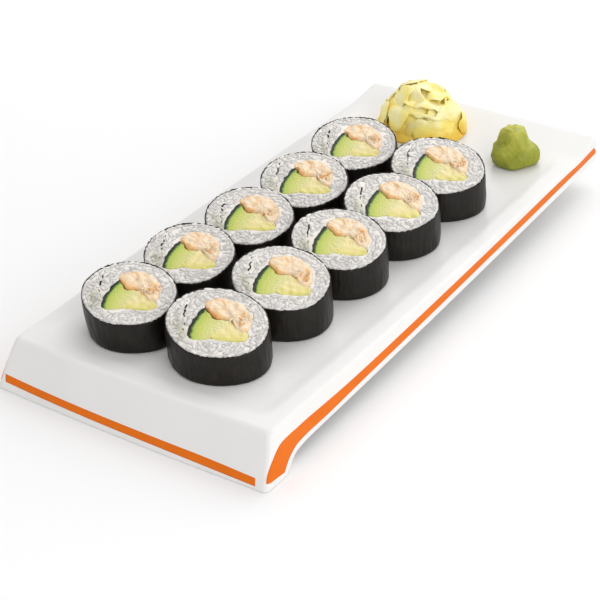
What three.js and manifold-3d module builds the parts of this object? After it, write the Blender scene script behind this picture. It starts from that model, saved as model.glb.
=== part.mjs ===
// Ten slices of thick maki roll in two rows on a long tray, with a heap of pickled ginger
// and a mound of wasabi behind them. Millimetres, +Z up, -Y is the tray's front, and the
// origin is on the table under the middle of the tray.
import * as THREE from "three";
import { mergeVertices } from "three/addons/utils/BufferGeometryUtils.js";
import Module from "manifold-3d";

const { cos, sin, PI, hypot, atan2, sqrt, min, max, abs } = Math;

const gap = 0.3; // clearance between pieces that touch
const sliver = 0.02; // cuts leave no detail finer than this

// The tray's own coordinates: y = 0 at the bend between top and front face, z = 0 at its rim.
const tray = {
  length: 348,
  width: 153.8, // between the rims, at both ends
  height: 25, // from the table to the rim
  toe: 12, // how far the front face runs out below the bend
  ridgeBow: 0.7, // the front bend and the foot bulge forward in the middle
  toeBow: 1.2,
  backBow: 0.8,
  sideBow: 2.4, // the long sides bulge by this, most at sideBowAt
  sideBowAt: 150,
  flare: 0.156, // the side bands lean out by this much per unit down
  splay: 1.8, // at the front corners they also splay by this
  splayDepth: 5, // most of it within this much below the rim
  splayRun: 30, // gone this far behind the bend
  backLean: 0.17, // the back edge leans in
  cornerRadius: 3,
  rimRadius: 2,
  rim: 7.5, // breadth of the flat rim
  sink: 0.8, // the field lies this much below the rim
  sinkRun: 4.5,
  level: [290, 306], // the field comes up level with the rim between these y
  lipAt: 309, // behind this the top turns up
  lipSlope: 0.16,
  lipFillet: 3,
  wall: 6, // thickness of top and skirt
  bendRun: 5, // the front bend's rounding reaches this far along the top
  footEdge: 1.4, // the foot's front edge is bevelled
  footLength: 16,
  bandStart: 19, // y where the side band begins, behind the foot
  bandFront: 17.6, // its height there and at the back
  bandBack: 9,
  bandBend: 1.4, // how fast it gets lower
  rearFoot: { y: 276, breadth: 12, width: 116 },
};

// Each slice as [x, y, radius along X, radius along Y, height in its middle].
const rows = [
  {
    side: "left",
    fall: [-0.106, 0.153], // the cut tops rise by this per unit along X and Y
    lean: [2, 0.4], // the foot stands this far out from under the top
    slices: [
      [-32.8, -123.3, 24.8, 22.9, 20.5],
      [-31.3, -76.3, 23.8, 23.7, 20],
      [-27.6, -28.7, 24.3, 23.5, 20],
      [-25.3, 19.6, 24.6, 24.1, 20],
      [-25.4, 70.1, 24.7, 24.3, 20],
    ],
  },
  {
    side: "right",
    fall: [-0.118, 0.156],
    lean: [1.2, -0.7],
    slices: [
      [20.4, -122.1, 26.6, 23.3, 20.1],
      [25.2, -75.5, 26, 23.05, 22.2],
      [28.8, -28.8, 25.7, 23.2, 22.2],
      [31.1, 18.7, 26.3, 23.8, 21.9],
      [31.3, 67, 27, 23.85, 21.8],
    ],
  },
];

const nori = {
  thickness: 0.6,
  dent: 0.7, // depth of the dents in a slice's sides
  ragged: 0.25, // its upper edge goes up and down by this
};
const turns = 32; // facets round a slice

// Outlines of the fillings in a slice of the middle size, clockwise from the left.
const middleSize = [24.55, 23.85];
const fillings = {
  cucumber: {
    outline: [
      [-10, 4.4], [-7, 3.2], [-2.5, 1.4], [1.5, 3.2], [3.8, 2.2], [3.7, -4],
      [3.6, -9.5], [1, -13.4], [-4.6, -15.6], [-8.4, -9], [-9.8, -2],
    ],
    rise: -0.2,
    sides: 16,
  },
  avocado: {
    outline: [
      [4.5, 3.8], [8, 1.6], [12, 0.2], [15.6, 1.4], [18.8, -1.6],
      [14.6, -5.2], [9, -8.8], [4.4, -9.6], [4.4, -3],
    ],
    rise: 0,
    sides: 14,
  },
  seafood: {
    outline: [
      [-11.4, 7.4], [-9.6, 12.2], [-5.4, 15.8], [0.5, 17.2], [6, 15.6], [10.6, 12], [13.8, 7],
      [14.6, 2.6], [11.8, 1.2], [8, 2.8], [4.8, 5], [1.2, 4.4], [-2.6, 2.6], [-7.2, 4.4],
    ],
    rise: 0.5,
    sides: 18,
    bevel: 0.7, // its top edge is rounded
  },
};

// The seaweed's inner end leaves the ring and runs down beside the cucumber.
const noriTail = [[-22.2, 10.4], [-18.4, 2.6], [-14.8, -5.4], [-9.6, -13]];

const grainBump = 0.42; // half height of the rice's bumps, a grain apart

const ginger = {
  x: -23,
  y: 140.5,
  rx: 28.3,
  ry: 24,
  height: 29.5,
  core: 0.84, // size of the mound under the slices
  slices: 12,
  length: 21,
  breadth: 14.5,
  thickness: 1.5,
  ruffle: 1.3,
};

// A blunt cone, its profile as shares of radius and height: a flared foot, a waist and a top.
const wasabi = {
  x: 45.9,
  y: 129.5,
  radius: 13.3,
  height: 21.5,
  profile: [
    [0, 0], [0.79, 0], [0.93, 0.06], [1, 0.22], [0.99, 0.36], [0.89, 0.51],
    [0.68, 0.62], [0.6, 0.75], [0.49, 0.89], [0.34, 0.98], [0, 1],
  ],
  lean: 1.2, // the top stands this far to the left
  lobes: [0.07, 0.05], // three wide lobes and five small ones, as shares of the radius
};

const wasm = await Module();
wasm.setup();

// Draws between 0 and 1, the same each time for a seed.
function seeded(seed) {
  let state = seed * 7919 + 17;
  return () => {
    state = (state * 16807) % 2147483647;
    return state / 2147483647;
  };
}

function smooth(edge0, edge1, value) {
  const t = min(1, max(0, (value - edge0) / (edge1 - edge0)));
  return t * t * (3 - 2 * t);
}

// Moves each vertex of a geometry to where place(x, y, z) says.
function reshaped(geometry, place) {
  const at = geometry.attributes.position;
  for (let i = 0; i < at.count; i++) {
    at.setXYZ(i, ...place(at.getX(i), at.getY(i), at.getZ(i)));
  }
  geometry.computeVertexNormals();
  return geometry;
}

function solidOf(geometry) {
  const bare = geometry.clone();
  bare.deleteAttribute("normal");
  bare.deleteAttribute("uv");
  const merged = mergeVertices(bare, 1e-3);
  return new wasm.Manifold(
    new wasm.Mesh({
      numProp: 3,
      vertProperties: new Float32Array(merged.attributes.position.array),
      triVerts: new Uint32Array(merged.index.array),
    }),
  );
}

function geometryOf(solid) {
  const mesh = solid.getMesh();
  const geometry = new THREE.BufferGeometry();
  geometry.setAttribute("position", new THREE.BufferAttribute(mesh.vertProperties, 3));
  geometry.setIndex(new THREE.BufferAttribute(mesh.triVerts, 1));
  geometry.computeVertexNormals();
  return geometry;
}

// Keeps the biggest closed surface: drops a cut's scraps and fills hollows that joining sealed.
function largest(solid) {
  const bodies = solid.decompose();
  return bodies.reduce((best, body) => (body.volume() > best.volume() ? body : best));
}

function surface(color, roughness) {
  return new THREE.MeshStandardMaterial({ color, roughness, metalness: 0 });
}

const materials = {
  porcelain: surface(0xf1efed, 0.15),
  nori: surface(0x201e1b, 0.55),
  rice: surface(0xe6e1da, 0.5),
  cucumber: surface(0xc4d47c, 0.4),
  avocado: surface(0xe6e07f, 0.5),
  seafood: surface(0xf6d2a8, 0.45),
  ginger: surface(0xf5e282, 0.35),
  wasabi: surface(0xa5ae3c, 0.6),
};

function piece(name, geometry, material) {
  const mesh = new THREE.Mesh(geometry, material);
  mesh.name = name;
  return mesh;
}

// A smooth closed outline through the given points, moved in by inset.
function closedShape(points, divisions, inset = 0) {
  const curve = new THREE.CatmullRomCurve3(
    points.map(([x, y]) => new THREE.Vector3(x, y, 0)),
    true,
    "centripetal",
  );
  const outline = [];
  for (let i = 0; i < divisions; i++) {
    const at = curve.getPoint(i / divisions);
    const along = curve.getTangent(i / divisions);
    outline.push(new THREE.Vector2(at.x + along.y * inset, at.y - along.x * inset));
  }
  return new THREE.Shape(outline);
}

// y of the back edge's ends.
const trayBack = tray.length - tray.toe - tray.toeBow - tray.backBow;

// Where the lines across the tray lie, as shares of its half width: close together at the rim.
const half = tray.width / 2;
const fromEdge = [tray.rim + tray.sinkRun, tray.rim, 1, 0];
const acrossHalf = [0.32, 0.62, ...fromEdge.map((inset) => 1 - inset / half)];
const across = [...acrossHalf.map((share) => -share).reverse(), 0, ...acrossHalf];

// y of the lines along the top, close together where it bends, and along the side's lower edge.
const topLines = [9, 14, 30, 60, 110, 160, 210, 255, 296, 306, 312, 319, 327, trayBack - 4];
const bandLines = [295, 235, 180, 125, 70, 40];

function halfWidth(y, z) {
  const reach = (y - tray.sideBowAt) / (trayBack - tray.sideBowAt);
  const splay = tray.splay * (1 - Math.exp(z / tray.splayDepth)) * (1 - smooth(0, tray.splayRun, y));
  return half + tray.sideBow * (1 - reach * reach) - z * tray.flare + splay;
}

// How far a rounding of this radius has dropped at inset from the edge.
function roundOff(radius, inset) {
  const left = max(0, radius - inset);
  return radius - sqrt(radius * radius - left * left);
}

// Lower edge of the side band: high behind the foot, lower towards the back.
function bandDepth(y) {
  const back = (y - tray.bandStart) / (trayBack - tray.bandStart);
  return tray.bandBack + (tray.bandFront - tray.bandBack) * (1 - back) ** tray.bandBend;
}

// The tray seen from its side, as a closed outline of y and z.
function traySide() {
  const h = tray.height;
  const bend = tray.bendRun;
  const frontAt = (z) => (tray.toe / (h - tray.footEdge)) * z;
  const backAt = (z) => trayBack + tray.backLean * (z + tray.rimRadius);
  const backDepth = bandDepth(trayBack);
  const band = bandDepth(tray.bandStart);
  const side = new THREE.Shape();
  side.moveTo(-tray.toe + tray.footEdge, -h);
  side.lineTo(-tray.toe, -h + tray.footEdge);
  side.lineTo(frontAt(-2 * bend), -2 * bend);
  side.lineTo(frontAt(1 - bend), 1 - bend);
  side.quadraticCurveTo(0, 0, bend, 0);
  for (const y of topLines) side.lineTo(y, 0);
  side.lineTo(backAt(-tray.rimRadius), -tray.rimRadius);
  side.lineTo(backAt(-backDepth), -backDepth);
  for (const y of bandLines) side.lineTo(y, -bandDepth(y));
  side.lineTo(tray.bandStart, -band);
  const heel = tray.footLength - tray.toe;
  side.quadraticCurveTo(heel + 6, -band - 1, heel + 2, -h + 2);
  side.lineTo(heel, -h);
  return side;
}

// Towards the back the field comes up level with the rim, and then both turn up.
function levelling(y) {
  return smooth(...tray.level, y);
}

function lipRise(y) {
  const behind = y - tray.lipAt;
  return (tray.lipSlope * (behind + hypot(behind, tray.lipFillet))) / 2;
}

// 1 on the top and at the rim, 0 on the walls below.
function upper(z) {
  return z > -3 ? 1 : 0;
}

// Puts a point of the straight extrusion on the bowed, flared tray.
function onTray(y, z, share, inset = 0) {
  const reach = halfWidth(y, z) - inset;
  const edge = reach * (1 - abs(share));
  const front = 1 - smooth(2, 16, y);
  const back = smooth(trayBack - 14, trayBack - 2, y);
  const bow = 1 - share * share;
  const down = -z / tray.height;
  const frontBow = tray.ridgeBow + (tray.toeBow - tray.ridgeBow) * down;
  const corner = roundOff(tray.cornerRadius, edge);
  const bowed = y + bow * (back * tray.backBow - front * frontBow) + (front - back) * corner;
  const field = smooth(tray.rim, tray.rim + tray.sinkRun, edge);
  const sunk = field * smooth(tray.rim, tray.rim + tray.sinkRun, y) * (1 - levelling(y));
  const skin = inset === 0 ? upper(z) : 0;
  const height = z - skin * (tray.sink * sunk + roundOff(tray.rimRadius, edge));
  return [share * reach, bowed, height + upper(z) * lipRise(y)];
}

// Height of the field at the platter's Y over the level that the slices stand on.
function fieldRise(platterY) {
  const y = platterY + tray.length / 2 - tray.toe - tray.toeBow;
  return tray.sink * levelling(y) + lipRise(y);
}

// Extrudes an outline of y and z across the tray.
function acrossTray(outline, inset) {
  const steps = across.length - 1;
  const straight = new THREE.ExtrudeGeometry(outline, {
    steps,
    depth: steps,
    bevelEnabled: false,
    curveSegments: 4,
  });
  return reshaped(straight, (y, z, line) => onTray(y, z, across[Math.round(line)], inset));
}

// The tray is open below: the hollow leaves a skirt, and one bar across it is the rear foot.
function makeTray() {
  const h = tray.height;
  const slope = tray.toe / h;
  const skirt = tray.wall * sqrt(1 + slope * slope);
  const roof = tray.wall + tray.sink;
  const floor = h + 2; // the hollow is cut through past the feet
  const backWall = trayBack - tray.wall - 3;
  const hollow = new THREE.Shape();
  hollow.moveTo(skirt - slope * floor, -floor);
  hollow.lineTo(skirt - slope * roof, -roof);
  hollow.lineTo(backWall, -roof);
  hollow.lineTo(backWall, -floor);
  const body = solidOf(acrossTray(traySide(), 0));
  const shell = body.subtract(solidOf(acrossTray(hollow, tray.wall)));
  const rear = tray.rearFoot;
  const root = 1; // the bar reaches this far into the roof
  const foot = new THREE.BoxGeometry(rear.width, rear.breadth, h - roof + root);
  foot.translate(0, rear.y, (root - h - roof) / 2);
  return geometryOf(shell.add(solidOf(foot)).simplify(sliver));
}

// Radius of a slice towards an angle: an oval, with shallow dents that fade out front and back,
// where the next slice stands.
function sliceRadius(spec, angle) {
  const oval = (spec.rx * spec.ry) / hypot(spec.ry * cos(angle), spec.rx * sin(angle));
  const dent = 0.5 + 0.5 * sin(3 * angle + spec.phase) * cos(2 * angle + 2 * spec.phase);
  return oval - nori.dent * dent * abs(cos(angle));
}

// Height of the cut top over the slice's foot.
function topOf(spec, x, y) {
  return spec.height + spec.fall[0] * x + spec.fall[1] * y;
}

// Stands a piece that was made between z = 0 and 1 up to the cut top, leaning with the slice.
function upright(spec, geometry, relief) {
  return reshaped(geometry, (x, y, z) => {
    const top = topOf(spec, x, y) + relief(x, y);
    return [x + spec.lean[0] * (1 - z), y + spec.lean[1] * (1 - z), z * top];
  });
}

// A lathe of this profile, turned upright: place(angle, radius) gives each point's radius.
function turned(profile, place) {
  const ring = new THREE.LatheGeometry(
    profile.map(([r, z]) => new THREE.Vector2(r, z)),
    turns,
  );
  return reshaped(ring, (x, y, z) => {
    const angle = atan2(-z, x);
    const r = place(angle, hypot(x, z));
    return [r * cos(angle), r * sin(angle), y];
  });
}

function makeNori(spec) {
  const wall = [[1, 0], [2, 0], [2, 1], [1, 1], [1, 0]]; // radius 1 is its inside, 2 its outside
  const ring = turned(wall, (angle, r) => sliceRadius(spec, angle) - (r < 1.5 ? nori.thickness : 0));
  const ragged = (x, y) => nori.ragged * sin(5 * atan2(y, x) + 3 * spec.phase) + 0.1;
  const tail = upright(spec, tailPrism(spec, nori.thickness), () => -0.1);
  return geometryOf(solidOf(upright(spec, ring, ragged)).add(solidOf(tail)));
}

// The seaweed's inner end as a bent strip of this thickness, one high.
function tailPrism(spec, thickness) {
  const line = noriTail.map(([x, y]) => new THREE.Vector2(x * spec.wide, y * spec.deep));
  const last = line.length - 1;
  const left = [];
  const right = [];
  line.forEach((at, i) => {
    const way = line[min(last, i + 1)].clone().sub(line[max(0, i - 1)]).normalize();
    const side = new THREE.Vector2(-way.y, way.x).multiplyScalar(thickness / 2);
    const past = i === last ? (thickness - nori.thickness) / 2 : 0;
    const tip = at.clone().addScaledVector(way, past);
    left.push(tip.clone().add(side));
    right.unshift(tip.clone().sub(side));
  });
  return new THREE.ExtrudeGeometry(new THREE.Shape([...left, ...right]), { depth: 1, bevelEnabled: false });
}

// A filling's outline, stretched to the slice.
function outlineIn(spec, { outline, sides, bevel = 0 }, finer = 1) {
  const stretched = outline.map(([x, y]) => [x * spec.wide, y * spec.deep]);
  return closedShape(stretched, sides * finer, bevel);
}

// A filling as a prism one high. Only the soft one has a bevel.
function fillingPrism(spec, filling) {
  const { bevel = 0 } = filling;
  const prism = new THREE.ExtrudeGeometry(outlineIn(spec, filling), {
    depth: spec.height - 2 * bevel,
    bevelEnabled: bevel > 0,
    bevelThickness: bevel,
    bevelSize: bevel,
    bevelSegments: 1,
  });
  return reshaped(prism, (x, y, z) => [x, y, (z + bevel) / spec.height]);
}

// How far the fillings reach from the slice's middle, one facet to either side of an angle.
function fillingReach(spec) {
  const edges = Object.values(fillings)
    .flatMap((filling) => outlineIn(spec, { ...filling, bevel: 0 }, 6).getPoints())
    .map((at) => ({ angle: atan2(at.y, at.x), r: at.length() }));
  return (angle) => {
    const near = edges.filter((edge) => cos(edge.angle - angle) > cos((2 * PI) / turns));
    return max(...near.map((edge) => edge.r));
  };
}

// The ring of rice between the fillings and the seaweed, bumpy with grains on top.
function makeRice(spec, draw) {
  const reach = fillingReach(spec);
  const block = [[1, 0], [2, 0], [2, 1], [1.92, 1], [1.48, 1], [1, 1], [1, 0]];
  const ring = turned(block, (angle, r) => {
    const inner = reach(angle) + gap;
    const outer = sliceRadius(spec, angle) - nori.thickness - gap;
    return inner + (r - 1) * (outer - inner);
  });
  const heights = new Map(); // one draw for a vertex, also where the lathe's seam doubles it
  const bumps = (x, y) => {
    const key = Math.round(x * 50) + "," + Math.round(y * 50);
    if (!heights.has(key)) heights.set(key, (2 * draw() - 1.5) * grainBump);
    return heights.get(key);
  };
  const slot = solidOf(through(spec, tailPrism(spec, nori.thickness + 2 * gap)));
  return geometryOf(largest(solidOf(upright(spec, ring, bumps)).subtract(slot)));
}

// Lengthens a prism past both faces of the slice, so that it cuts right through.
function through(spec, prism) {
  return reshaped(prism, (x, y, z) => {
    const over = z > 0.5 ? 1.25 : -0.1;
    const out = 1 - over;
    return [x + spec.lean[0] * out, y + spec.lean[1] * out, over * topOf(spec, x, y)];
  });
}

function makeSlice(name, spec, draw) {
  const group = new THREE.Group();
  group.add(piece("nori_" + name, makeNori(spec), materials.nori));
  group.add(piece("rice_" + name, makeRice(spec, draw), materials.rice));
  for (const [kind, filling] of Object.entries(fillings)) {
    const standing = upright(spec, fillingPrism(spec, filling), () => filling.rise);
    group.add(piece(kind + "_" + name, standing, materials[kind]));
  }
  return group;
}

// A thin curled slice of ginger: a slab bent along its length, with a ruffled edge.
function gingerSlice(draw) {
  const { length, breadth, thickness } = ginger;
  const long = length * (0.8 + 0.4 * draw());
  const wide = breadth * (0.75 + 0.5 * draw());
  const curl = 0.012 + 0.02 * draw();
  const phase = 2 * PI * draw();
  const slab = new THREE.BoxGeometry(long, wide, thickness, 3, 1, 1);
  return reshaped(slab, (x, y, z) => {
    const narrow = 1 - 0.45 * (2 * x / long) ** 2;
    const ruffle = ginger.ruffle * sin(0.5 * x + phase) * (2 * y / wide);
    return [x, y * narrow, z - curl * x * x + ruffle];
  });
}

// The heap: a lumpy mound with slices laid on it like shingles, rising to its top.
function makeGinger() {
  const { rx, ry, height, core } = ginger;
  const draw = seeded(7);
  const mound = new THREE.SphereGeometry(1, 12, 6);
  reshaped(mound, (x, y, z) => {
    const angle = atan2(z, x);
    const lump = core * (1 + 0.06 * sin(3 * angle + 1) + 0.05 * sin(5 * angle));
    return [x * rx * lump, -z * ry * lump, max(y, 0) * height * core];
  });
  let heap = solidOf(onField(mound, ginger));
  for (let i = 0; i < ginger.slices; i++) {
    const share = i / (ginger.slices - 1);
    const around = i * 2.4; // the golden angle spreads them evenly
    const out = 0.78 * sqrt(1 - share * share * 0.97);
    const flake = gingerSlice(draw);
    flake.rotateZ((draw() - 0.5) * 1.6);
    flake.rotateY(1.15 * out + 0.25 * (draw() - 0.5));
    flake.rotateZ(around);
    flake.translate(rx * out * cos(around), ry * out * sin(around), height * (0.3 + 0.6 * share));
    heap = heap.add(solidOf(onField(flake, ginger)));
  }
  return geometryOf(largest(heap).simplify(sliver));
}

// Lifts what reaches under the field, which turns up towards the back.
function onField(geometry, middle) {
  return reshaped(geometry, (x, y, z) => {
    const rise = fieldRise(middle.y + y);
    const lowest = rise > 0.02 ? rise + gap : 0;
    return [x, y, max(z, lowest)];
  });
}

function makeWasabi() {
  const { radius, height, lean, lobes } = wasabi;
  const profile = wasabi.profile.map(([r, z]) => new THREE.Vector2(r * radius, z * height));
  const cone = new THREE.LatheGeometry(profile, 20);
  reshaped(cone, (x, y, z) => {
    const angle = atan2(-z, x);
    const up = y / height;
    const wide = lobes[0] * sin(3 * angle + 4 * up) + lobes[1] * sin(5 * angle - 6 * up + 1);
    const r = hypot(x, z) * (1 + wide);
    return [r * cos(angle) - lean * up, r * sin(angle), y];
  });
  return onField(cone, wasabi);
}

const platter = new THREE.Group();

const trayMesh = piece("tray", makeTray(), materials.porcelain);
trayMesh.position.set(0, tray.toe + tray.toeBow - tray.length / 2, tray.height);
platter.add(trayMesh);

const food = new THREE.Group();
food.position.z = tray.height - tray.sink + gap;
rows.forEach((row, r) => {
  row.slices.forEach(([x, y, rx, ry, height], i) => {
    const draw = seeded(11 + 10 * r + i);
    const spec = { rx, ry, height, fall: row.fall, lean: row.lean, phase: 2 * PI * draw() };
    spec.wide = rx / middleSize[0];
    spec.deep = ry / middleSize[1];
    const standing = makeSlice(row.side + "_" + (i + 1), spec, draw);
    standing.position.set(x, y, 0);
    food.add(standing);
  });
});

const heap = piece("ginger", makeGinger(), materials.ginger);
heap.position.set(ginger.x, ginger.y, 0);
food.add(heap);

const mound = piece("wasabi", makeWasabi(), materials.wasabi);
mound.position.set(wasabi.x, wasabi.y, 0);
food.add(mound);
platter.add(food);

export default platter;
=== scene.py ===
import math

import bmesh
import bpy
import numpy as np
from mathutils import Matrix, Vector


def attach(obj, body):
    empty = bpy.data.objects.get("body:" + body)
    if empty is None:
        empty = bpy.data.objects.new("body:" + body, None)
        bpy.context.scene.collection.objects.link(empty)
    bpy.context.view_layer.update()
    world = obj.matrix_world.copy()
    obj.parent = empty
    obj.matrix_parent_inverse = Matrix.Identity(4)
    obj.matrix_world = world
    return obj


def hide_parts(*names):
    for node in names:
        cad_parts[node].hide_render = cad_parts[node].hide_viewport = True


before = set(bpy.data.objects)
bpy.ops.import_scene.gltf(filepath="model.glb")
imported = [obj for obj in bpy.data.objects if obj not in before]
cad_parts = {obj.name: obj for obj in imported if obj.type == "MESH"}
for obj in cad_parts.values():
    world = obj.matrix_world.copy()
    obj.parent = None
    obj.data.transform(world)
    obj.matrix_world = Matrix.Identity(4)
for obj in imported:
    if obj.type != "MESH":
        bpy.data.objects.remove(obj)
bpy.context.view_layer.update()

# Ten slices of thick maki on a long porcelain tray, with pickled ginger and wasabi.
# Lengths in the dictionaries are millimetres; meshes are made in metres by newPiece.


# ramp of 0 to 1 between two edges, level at both: t * t * (3 - 2 t)
def smooth(low, high, value):
    t = np.clip((value - low) / (high - low), 0, 1)
    return t * t * (3 - 2 * t)


# bell curve: 1 at 0 and 1 / e at its width
def bell(value, width):
    return np.exp(-((value / width) ** 2))


# angles all the way round, the last one short of the first
def allRound(count):
    return np.linspace(0, 2 * math.pi, count, endpoint=False)


# angle and distance from the origin of points on a plane
def polar(flat):
    return np.arctan2(flat[..., 1], flat[..., 0]), np.hypot(flat[..., 0], flat[..., 1])


# smooth noise: the sum of sine waves in random directions, about one wave per size
def waves(points, size, seed, count=10):
    draw = np.random.default_rng(seed)
    points = np.asarray(points, float)
    ways = draw.normal(size=(count, points.shape[-1]))
    ways *= 2 * math.pi / (size * np.linalg.norm(ways, axis=1, keepdims=True))
    ways *= draw.uniform(0.7, 1.4, (count, 1))
    turns = draw.uniform(0, 2 * math.pi, count)
    return np.sin(points @ ways.T + turns).sum(-1) / math.sqrt(count)


# curve through the points, closed or open: on each span, the cubic whose end slopes are half
# the step between the neighbours
def curveThrough(points, count, closed=True):
    points = np.asarray(points, float)
    spans = len(points) if closed else len(points) - 1
    at = np.linspace(0, spans, count, endpoint=not closed)
    span = np.minimum(at.astype(int), spans - 1)
    t = (at - span)[:, None]
    steps = [span + k for k in (-1, 0, 1, 2)]
    steps = [step % spans if closed else np.clip(step, 0, spans) for step in steps]
    p0, p1, p2, p3 = (points[step] for step in steps)
    slope = (p2 - p0) * t
    bend = (2 * p0 - 5 * p1 + 4 * p2 - p3) * t**2
    twist = (3 * p1 - p0 - 3 * p2 + p3) * t**3
    return 0.5 * (2 * p1 + slope + bend + twist)


# distance of each point from a line of straight pieces
def distanceTo(points, line):
    points = np.asarray(points, float)
    line = np.asarray(line, float)
    start, step = line[:-1], np.diff(line, axis=0)
    away = points[:, None] - start[None]
    share = np.clip((away * step).sum(-1) / (step * step).sum(-1), 0, 1)
    return np.linalg.norm(away - share[..., None] * step, axis=-1).min(1)


# four-cornered faces between neighbouring rows and columns of a grid of points
def gridFaces(rows, columns, closedRows=False, closedColumns=True):
    r = np.arange(rows if closedRows else rows - 1)
    c = np.arange(columns if closedColumns else columns - 1)
    r, c = (part.ravel() for part in np.meshgrid(r, c, indexing="ij"))
    r2, c2 = (r + 1) % rows, (c + 1) % columns
    return np.stack([r * columns + c, r * columns + c2, r2 * columns + c2, r2 * columns + c], 1)


# a shell from loops of points, one loop's place after another, drawn shut at both ends
def shutStrip(loops):
    ends = [loops[:, k].mean(0, keepdims=True).repeat(len(loops), 0)[:, None] for k in (0, -1)]
    points = np.concatenate([ends[0], loops, ends[1]], 1)
    return points, gridFaces(len(points), points.shape[1], closedRows=True, closedColumns=False), {}


def newObject(name, data):
    made = bpy.data.objects.new(name, data)
    bpy.context.scene.collection.objects.link(made)
    return made


# one mesh of many shells of (points, faces, attributes), welded, with its faces outwards
def newPiece(name, shells, material):
    points = np.concatenate([shell[0].reshape(-1, 3) for shell in shells]) * 0.001
    starts = np.cumsum([0] + [shell[0].size // 3 for shell in shells[:-1]])
    faces = np.concatenate([shell[1] + start for shell, start in zip(shells, starts)])
    mesh = bpy.data.meshes.new(name)
    mesh.from_pydata(points.tolist(), [], faces.tolist())
    for key in shells[0][2]:
        values = np.concatenate([np.asarray(shell[2][key], np.float32).ravel() for shell in shells])
        vector = values.size == points.size
        kind, field = ("FLOAT_VECTOR", "vector") if vector else ("FLOAT", "value")
        mesh.attributes.new(key, kind, "POINT").data.foreach_set(field, values)
    edit = bmesh.new()
    edit.from_mesh(mesh)
    bmesh.ops.remove_doubles(edit, verts=edit.verts, dist=2e-6)
    bmesh.ops.recalc_face_normals(edit, faces=edit.faces)
    edit.to_mesh(mesh)
    edit.free()
    mesh.shade_smooth()
    mesh.materials.append(material)
    return newObject(name, mesh)


# rides on the body and stands for its solids, which it hides
def finishPiece(piece, slot, *nodes):
    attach(piece, "root")
    if nodes:
        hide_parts(*nodes)


# sRGB hex colour as linear red, green, blue and alpha
def linear(code):
    parts = [int(code[i : i + 2], 16) / 255 for i in (1, 3, 5)]
    return tuple(p / 12.92 if p <= 0.04045 else ((p + 0.055) / 1.055) ** 2.4 for p in parts) + (1,)


def fillSockets(tree, node, sockets):
    for key, value in sockets.items():
        if isinstance(value, bpy.types.NodeSocket):
            tree.links.new(value, node.inputs[key])
        else:
            node.inputs[key].default_value = value
    return node


# a node whose sockets get these values, or are linked to these other sockets
def addNode(tree, kind, sockets, **settings):
    node = tree.nodes.new("ShaderNode" + kind)
    for key, value in settings.items():
        setattr(node, key, value)
    return fillSockets(tree, node, sockets)


# an attribute of the mesh, as a value or as a vector
def attribute(tree, name, kind="Fac"):
    return addNode(tree, "Attribute", {}, attribute_name=name).outputs[kind]


def noise(tree, vector, scale, detail):
    sockets = {"Vector": vector, "Scale": scale, "Detail": detail}
    return addNode(tree, "TexNoise", sockets).outputs["Fac"]


# colour along stops of (place, sRGB hex)
def ramp(tree, share, stops):
    node = addNode(tree, "ValToRGB", {0: share})
    elements = node.color_ramp.elements
    for i, (place, code) in enumerate(stops):
        element = elements[i] if i < 2 else elements.new(place)
        element.position = place
        element.color = linear(code)
    return node.outputs["Color"]


# A material from its values. Noise gives the tone its place along a ramp, and the roughness
# where that has two limits; a measure of the mesh may lead the tone: the share of (measure +
# sway * noise) between a low and a high value. A grain of noise pushes the normal, with a
# strength and a depth in metres; stretched into fibres, it shows in the tone too. Noise is
# waves per metre and detail, or waves per millimetre in the mesh's own place.
def newMaterial(values):
    material = bpy.data.materials.new(values["name"])
    material.use_nodes = True
    tree = material.node_tree
    place = addNode(tree, "TexCoord", {}).outputs["Object"]
    if values.get("ownPlace"):
        place = attribute(tree, "place", "Vector")
    cloud = share = noise(tree, place, *values["cloud"])
    rough = values["rough"]
    if isinstance(rough, tuple):
        limits = {"Value": cloud, "To Min": rough[0], "To Max": rough[1]}
        rough = addNode(tree, "MapRange", limits).outputs["Result"]
    sockets = {"Roughness": rough, "Specular IOR Level": values.get("specular", 0.5)}
    if "measure" in values:
        key, sway, low, high = values["measure"]
        terms = {0: cloud, 1: sway, 2: attribute(tree, key)}
        swayed = addNode(tree, "Math", terms, operation="MULTIPLY_ADD").outputs[0]
        limits = {"Value": swayed, "From Min": low, "From Max": high}
        share = addNode(tree, "MapRange", limits).outputs["Result"]
    if "fibres" in values:
        stretched = {"Vector": place, "Scale": values["fibres"]}
        place = addNode(tree, "Mapping", stretched).outputs["Vector"]
    if "grain" in values:
        scale, detail, strength, depth = values["grain"]
        height = noise(tree, place, scale, detail)
        push = {"Height": height, "Strength": strength, "Distance": depth}
        sockets["Normal"] = addNode(tree, "Bump", push).outputs["Normal"]
        if "fibres" in values:
            both = {"Factor": 0.5, "A": height, "B": cloud}
            share = addNode(tree, "Mix", both).outputs["Result"]
    tone = ramp(tree, share, values["tones"])
    if "stain" in values:
        key, code = values["stain"]
        both = {"Factor": attribute(tree, key), 6: tone, 7: linear(code)}
        tone = addNode(tree, "Mix", both, data_type="RGBA").outputs[2]
    if "scatter" in values:
        keys = ("Subsurface Weight", "Subsurface Radius", "Subsurface Scale")
        sockets.update(zip(keys, values["scatter"]))
    fillSockets(tree, tree.nodes["Principled BSDF"], {"Base Color": tone, **sockets})
    return material


print("camera and light")

view = {
    "place": (463.5, -667.1, 491.9),
    "azimuth": -35.824,  # degrees from +Y towards +X
    "down": 31.932,
    "roll": -2.76,
    "lens": 104.167,  # on a sensor 36 wide
}


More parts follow.
